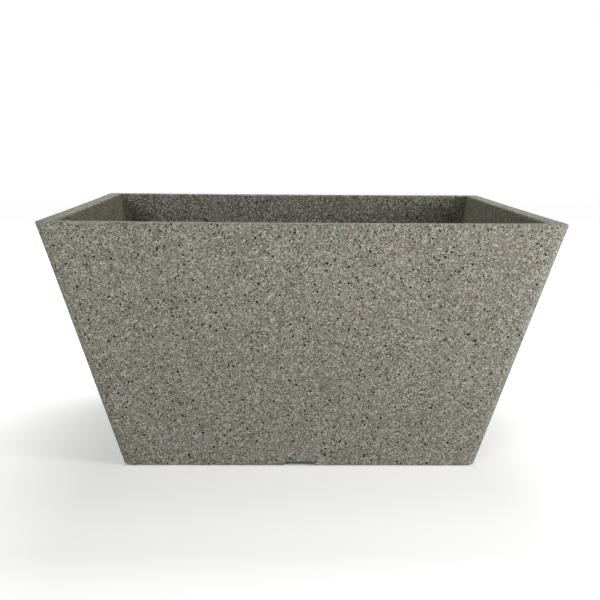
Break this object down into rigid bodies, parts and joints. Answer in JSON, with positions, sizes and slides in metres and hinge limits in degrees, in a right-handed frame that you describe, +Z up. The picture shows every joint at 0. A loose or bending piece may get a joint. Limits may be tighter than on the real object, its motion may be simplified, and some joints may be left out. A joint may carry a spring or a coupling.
{
  "type": "planter box",
  "caption": "Tapered square planter tub with a thick flat rim, standing skirt with water notches, and pull-out rubber drain bungs.",
  "frame": {"origin": "on the ground, under the middle of the tub", "axes": "+Z up, the front face towards -Y, +X to the right as seen from the front"},
  "size_m": [0.599, 0.599, 0.304],
  "materials": {
    "granite_composite": "matte",
    "bung_rubber": "matte"
  },
  "bodies": {
    "planter": {"planter_body": "granite_composite"},
    "bung_front_left": {"drain_bung_front_left": "bung_rubber"},
    "bung_front_right": {"drain_bung_front_right": "bung_rubber"},
    "bung_back_left": {"drain_bung_back_left": "bung_rubber"},
    "bung_back_right": {"drain_bung_back_right": "bung_rubber"}
  },
  "joints": [
    {"name": "bung_front_left_lift", "type": "slide", "parent": "planter", "child": "bung_front_left", "axis": [0, 0, 1], "range_m": [0, 0.31]},
    {"name": "bung_front_right_lift", "type": "slide", "parent": "planter", "child": "bung_front_right", "axis": [0, 0, 1], "range_m": [0, 0.31]},
    {"name": "bung_back_left_lift", "type": "slide", "parent": "planter", "child": "bung_back_left", "axis": [0, 0, 1], "range_m": [0, 0.31]},
    {"name": "bung_back_right_lift", "type": "slide", "parent": "planter", "child": "bung_back_right", "axis": [0, 0, 1], "range_m": [0, 0.31]}
  ]
}
